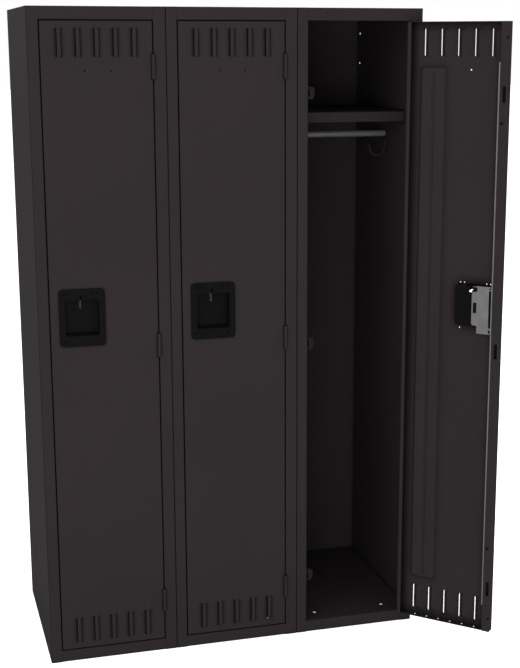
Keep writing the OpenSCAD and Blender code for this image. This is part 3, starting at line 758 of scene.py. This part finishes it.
    def front_holes(self, punch: Punch) -> None:
        """Adds what goes through the front: the cup's cut-out, and the holes for a lock and for the number plate.

        Args:
            punch: Where the prisms go.
        """
        cup_x, cup_z = self.x0 + self.cup_inset, self.mid_z + self.cup_rise
        half_w, half_h = self.cut_half
        top, bottom = cup_z + self.cut_top, cup_z - half_h
        cup = rounded_outline(cup_x - half_w, cup_x + half_w, bottom, top, self.cut_corner)
        punch.through(cup, *self.front_reach)
        hasp_x = cup_x - self.hasp_left
        inner, outer = self.lock_spans
        upper, lower = top + self.lock_above, bottom - self.lock_below
        holes = [(hasp_x + span, upper, self.lock_r) for span in (-outer, -inner, inner, outer)]
        holes += [(hasp_x + span, lower, self.lock_r) for span in (-outer, outer)]
        holes += [(self.mid_x + offset, self.z1 - self.plate_drop, self.plate_r) for offset in self.plate_offsets]
        for x, z, radius in holes:
            punch.through(round_outline(x, z, radius), *self.front_reach)

    def lip_holes(self, punch: Punch) -> None:
        """Adds what goes through the lip: the three slots for the frame hooks, and the holes for guides.

        Args:
            punch: Where the prisms go.
        """
        lip = (self.depth - self.lip_reach, self.depth + self.lip_reach)
        slot_x, half_w, half_h = self.x0 + self.slot_inset, self.slot_w / 2.0, self.slot_h / 2.0
        low, high = self.z0 + self.hook_low, self.z1 - self.hook_drop
        for z in (low, (low + high) / 2.0, high):
            outline = rounded_outline(slot_x - half_w, slot_x + half_w, z - half_h, z + half_h, self.slot_corner)
            punch.through(outline, *lip)
        for side, z in (
            (self.guide_side, low + self.guide_low), (self.guide_side, high - self.guide_high),
            (self.lip_hole_side, self.z0 + self.lip_hole_end), (self.lip_hole_side, self.z1 - self.lip_hole_end),
        ):
            punch.through(round_outline(slot_x + side, z, self.lip_hole_r), *lip)

    def punch(self) -> Punch:
        """Every hole of the door: those of the front and the lip, the drain holes, and the notches for the hinges.

        Returns:
            The prisms that cut them.
        """
        punch = Punch()
        self.front_holes(punch)
        self.lip_holes(punch)
        for n in range(self.drains):
            x = self.mid_x + (n - (self.drains - 1) / 2.0) * self.drain_pitch
            for z in (self.z0, self.z1):
                outline = round_outline(x, self.drain_in, self.drain_r)
                punch.through(outline, z - self.drain_reach, z + self.drain_reach, upright=True)
        axis_x, axis_y = self.cabinet.axis
        half = self.hinge_h / 2.0 + self.notch_past
        left, right = axis_x - self.notch_r, axis_x + self.notch_r
        for z in (self.z0 + self.hinge_end, self.mid_z, self.z1 - self.hinge_end):
            outline = np.array([(left, z - half), (right, z - half), (right, z + half), (left, z + half)])
            punch.through(outline, self.notch_front, axis_y + self.notch_r)
        return punch

    def folded_sheet(self) -> bpy.types.Mesh:
        """The skin given its thickness inwards, and then punched.

        Returns:
            The finished sheet, in the door's own frame.
        """
        block = bpy.data.objects.new("pan_blank", mesh_from("pan_blank", *self.shell()))
        cutter = self.punch().object("pan_punch")
        for piece in (block, cutter):
            bpy.context.scene.collection.objects.link(piece)
        wall = block.modifiers.new("wall", "SOLIDIFY")
        wall.thickness, wall.offset, wall.use_even_offset = self.sheet, -1.0, True
        cut = block.modifiers.new("holes", "BOOLEAN")
        cut.operation, cut.solver, cut.object = "DIFFERENCE", "MANIFOLD", cutter
        shaped = block.evaluated_get(bpy.context.evaluated_depsgraph_get())
        mesh = bpy.data.meshes.new_from_object(shaped)
        for piece in (block, cutter):
            bpy.data.objects.remove(piece)
        mesh.materials.clear()
        mesh.materials.append(self.finish)
        return mesh

    def build(self) -> None:
        """Makes the pan once and hangs a copy of it on each locker, in place of the plain one."""
        pan = self.folded_sheet()
        rest = np.empty(len(pan.vertices) * 3)
        pan.vertices.foreach_get("co", rest)
        for side in Side:
            mesh = pan.copy()
            mesh.name = f"door_pan_{side.value}"
            mesh.vertices.foreach_set("co", self.cabinet.placed(rest.reshape(-1, 3), side).ravel())
            mesh.update()
            mesh.shade_smooth()
            mesh.set_sharp_from_angle(angle=math.radians(self.crease))
            door = bpy.data.objects.new(mesh.name, mesh)
            bpy.context.scene.collection.objects.link(door)
            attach(door, f"door_{side.value}_body")
            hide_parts(f"door_{side.value}")
            LOG.info("%s: %d faces", door.name, len(mesh.polygons))


@dataclass
class PressedStiffener:
    """Hat-shaped rib behind each door, with round ends and a groove down its middle."""

    cabinet: Cabinet
    finish: bpy.types.Material
    x0: float = 177.6 * MM
    x1: float = 248.73 * MM
    z0: float = 128.2 * MM
    z1: float = 1395.8 * MM
    seat: float = 1.2 * MM
    sunk: float = 0.3 * MM
    rise: float = 7.5 * MM
    slope: float = 9.0 * MM
    corner: float = 9.0 * MM
    groove_w: float = 9.6 * MM
    groove_drop: float = 1.7 * MM
    groove_slope: float = 3.4 * MM
    sheet: float = 0.8 * MM
    flank_lines: int = 17
    groove_lines: int = 7
    cell_w: float = 12.0 * MM
    cell_h: float = 60.0 * MM

    def height(self, x: np.ndarray, z: np.ndarray) -> np.ndarray:
        """Height over the door: an eased rise with the distance inside a rectangle with round corners, less the groove.

        The distance is corner - |max(q, 0)| - min(max(qx, qz), 0), with q the place from the middle less half the size
        plus the corner. The groove eases down on both sides of the middle line, and fades out at its two ends.

        Args:
            x: X of the grid.
            z: Z of the grid.

        Returns:
            The height at each point.
        """
        mid_x, mid_z = (self.x0 + self.x1) / 2.0, (self.z0 + self.z1) / 2.0
        qx = np.abs(x - mid_x) - (self.x1 - self.x0) / 2.0 + self.corner
        qz = np.abs(z - mid_z) - (self.z1 - self.z0) / 2.0 + self.corner
        inside = self.corner - np.hypot(np.maximum(qx, 0.0), np.maximum(qz, 0.0)) - np.minimum(np.maximum(qx, qz), 0.0)
        across = smooth_step((self.groove_w / 2.0 - np.abs(x - mid_x)) / self.groove_slope)
        along = smooth_step((inside - self.slope) / self.slope)
        return (self.rise + self.sunk) * smooth_step(inside / self.slope) - self.groove_drop * across * along

    def build(self) -> None:
        """Presses the rib once and sets a copy of it behind each door."""
        mid = (self.x0 + self.x1) / 2.0
        edge = np.linspace(0.0, self.corner + self.slope, self.flank_lines)
        dip = np.linspace(0.0, self.groove_slope, self.groove_lines)
        groove = np.concatenate([mid - self.groove_w / 2.0 + dip, mid + self.groove_w / 2.0 - dip])
        xs = spaced(*(self.x0 + edge), *(self.x1 - edge), *groove, step=self.cell_w)
        zs = spaced(*(self.z0 + edge), *(self.z1 - edge), step=self.cell_h)
        x, z = np.meshgrid(xs, zs)
        sheet = Sheet()
        sheet.add_grid(np.stack([x, self.seat - self.sunk + self.height(x, z), z], axis=-1), flip=True)
        points, quads = sheet.welded()
        for side in Side:
            mesh = mesh_from(f"stiffener_rib_{side.value}", self.cabinet.placed(points, side), quads)
            mesh.materials.append(self.finish)
            mesh.shade_smooth()
            rib = bpy.data.objects.new(mesh.name, mesh)
            bpy.context.scene.collection.objects.link(rib)
            wall = rib.modifiers.new("wall", "SOLIDIFY")
            wall.thickness, wall.offset = self.sheet, -1.0
            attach(rib, f"door_{side.value}_body")
            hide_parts(f"stiffener_{side.value}")
            LOG.info("%s: %d faces", rib.name, len(mesh.polygons))


@dataclass(frozen=True)
class Softbox:
    """A square lamp that faces the middle of the cabinet. Its power is in watts."""

    name: str
    place: tuple[float, float, float]
    size: float
    power: float
    aim: tuple[float, float, float] = (0.0, 0.0, 0.75)

    def build(self) -> None:
        """Hangs the lamp."""
        light = bpy.data.lights.new(self.name, "AREA")
        light.shape = "SQUARE"
        light.size = self.size
        light.energy = self.power
        lamp = bpy.data.objects.new(self.name, light)
        lamp.location = self.place
        lamp.rotation_euler = (Vector(self.aim) - Vector(self.place)).to_track_quat("-Z", "Y").to_euler()
        bpy.context.scene.collection.objects.link(lamp)


@dataclass
class Studio:
    """A pale floor, soft lamps, a white surround and the camera."""

    focal_mm: float = 72.447
    place: tuple[float, float, float] = (-0.7475, -3.0100, 1.4485)
    yaw: float = 0.2833
    pitch: float = 0.2186
    shift: tuple[float, float] = (-0.0401, 0.0093)
    sensor_mm: float = 36.0
    ambient: float = 0.5
    floor_half: float = 40.0
    floor_z: float = -0.5 * MM
    floor_shade: float = 0.9
    floor_roughness: float = 0.9
    floor_lift: float = 2.0
    floor_glow: float = 0.55
    lamps: tuple[Softbox, ...] = (
        Softbox("front", (-1.25, -3.85, 0.95), 1.1, 39.0),
        Softbox("key", (-2.9, -2.6, 2.6), 1.8, 20.5),
        Softbox("low", (0.15, -2.8, 0.3), 0.9, 4.0),
        Softbox("fill", (2.8, -3.2, 2.0), 2.6, 12.0),
        Softbox("top", (0.0, 0.2, 3.6), 2.4, 12.0),
        Softbox("rear", (1.4, 3.4, 2.4), 2.4, 26.0),
    )

    def build(self) -> None:
        """Sets up the camera, the surround, the floor and the lamps."""
        scene = bpy.context.scene
        scene.view_settings.view_transform = "Standard"
        lens = bpy.data.cameras.new("camera")
        lens.lens = self.focal_mm
        lens.sensor_width = self.sensor_mm
        lens.shift_x, lens.shift_y = self.shift
        camera = bpy.data.objects.new("camera", lens)
        camera.location = self.place
        camera.rotation_euler = Euler((math.pi / 2.0 - self.pitch, 0.0, -self.yaw))
        scene.collection.objects.link(camera)
        scene.camera = camera
        self.surround(scene)
        self.floor()
        for lamp in self.lamps:
            lamp.build()

    def surround(self, scene: bpy.types.Scene) -> None:
        """White where it is seen, through glass and in a reflection as well, and grey as a light.

        Args:
            scene: The scene.
        """
        world = bpy.data.worlds.new("surround")
        scene.world = world
        world.use_nodes = True
        graph = NodeGraph(world.node_tree)
        background = next(n for n in world.node_tree.nodes if n.type == "BACKGROUND")
        background.inputs["Color"].default_value = (1.0, 1.0, 1.0, 1.0)
        path = graph.add("ShaderNodeLightPath")
        mirrored = graph.maths("MAXIMUM", path.outputs["Is Glossy Ray"], path.outputs["Is Transmission Ray"])
        seen = graph.maths("MAXIMUM", path.outputs["Is Camera Ray"], mirrored)
        strength = graph.add("ShaderNodeMapRange", To_Min=self.ambient, To_Max=1.0)
        graph.join(seen, strength.inputs["Value"])
        graph.join(strength.outputs["Result"], background.inputs["Strength"])

    def floor(self) -> None:
        """A wide pale plane just under the cabinet, white where it is seen but for the shadows on it."""
        half = self.floor_half
        corners = [(x, y, self.floor_z) for x, y in ((-half, -half), (half, -half), (half, half), (-half, half))]
        mesh = bpy.data.meshes.new("floor")
        mesh.from_pydata(corners, [], [(0, 1, 2, 3)])
        material = bpy.data.materials.new("pale_floor")
        material.use_nodes = True
        graph = NodeGraph(material.node_tree)
        shader = next(n for n in material.node_tree.nodes if n.type == "BSDF_PRINCIPLED")
        shader.inputs["Base Color"].default_value = (self.floor_shade,) * 3 + (1.0,)
        shader.inputs["Roughness"].default_value = self.floor_roughness
        shader.inputs["Specular IOR Level"].default_value = 0.0
        lit = graph.add("ShaderNodeBsdfDiffuse")
        lit.inputs["Color"].default_value = (self.floor_lift,) * 3 + (1.0,)
        glow = graph.add("ShaderNodeEmission", Strength=self.floor_glow)
        shown = graph.add("ShaderNodeAddShader")
        graph.join(lit.outputs[0], shown.inputs[0])
        graph.join(glow.outputs[0], shown.inputs[1])
        path = graph.add("ShaderNodeLightPath")
        mix = graph.add("ShaderNodeMixShader")
        output = next(n for n in material.node_tree.nodes if n.type == "OUTPUT_MATERIAL")
        graph.join(path.outputs["Is Camera Ray"], mix.inputs[0])
        graph.join(shader.outputs[0], mix.inputs[1])
        graph.join(shown.outputs[0], mix.inputs[2])
        graph.join(mix.outputs[0], output.inputs["Surface"])
        mesh.materials.append(material)
        floor = bpy.data.objects.new("floor", mesh)
        bpy.context.scene.collection.objects.link(floor)


def dress_nodes(finishes: dict[str, bpy.types.Material]) -> None:
    """Gives every CAD node the finish of its material slot.

    Args:
        finishes: Finish by slot name.
    """
    slots = {entry["node"]: entry["material_slot"] for entry in frame["record"]["subparts"]}
    for name, node in frame["nodes"].items():
        for slot in node.material_slots:
            slot.material = finishes[slots[name]]


def main() -> None:
    """Builds and dresses the cabinet piece by piece."""
    logging.basicConfig(level=logging.INFO)
    Studio().build()
    # The door and body coats put painted shade of a different reach and depth into their recesses.
    door_coat = PowderCoat("door_powder_coat", (0.0350, 0.0284, 0.0304), painted_shade_reach=25.0 * MM, painted_shade_power=1.5)
    body_coat = PowderCoat("body_powder_coat", (0.0340, 0.0287, 0.0305), painted_shade_reach=8.0 * MM, painted_shade_power=1.0)
    finishes = {
        "door_paint": door_coat.material(),
        "body_paint": body_coat.material(),
        "hinge_paint": PowderCoat("hinge_powder_coat", (0.0340, 0.0287, 0.0305)).material(),
        "zinc_plate": ZincPlate("zinc_plate", (0.196, 0.196, 0.195)).material(),
        "cup_plastic": MouldedPolymer("cup_plastic", (0.0044, 0.0044, 0.0047)).material(),
        "guide_nylon": MouldedPolymer("guide_nylon", (0.007, 0.007, 0.0072)).material(),
        "silencer_rubber": MouldedPolymer("silencer_rubber", (0.022, 0.022, 0.022), roughness=0.8).material(),
    }
    dress_nodes(finishes)
    LOG.info("CAD nodes dressed")
    cabinet = Cabinet()
    LouvredPan(cabinet, finishes["door_paint"]).build()
    PressedStiffener(cabinet, finishes["door_paint"]).build()


if __name__ == "__main__":
    main()
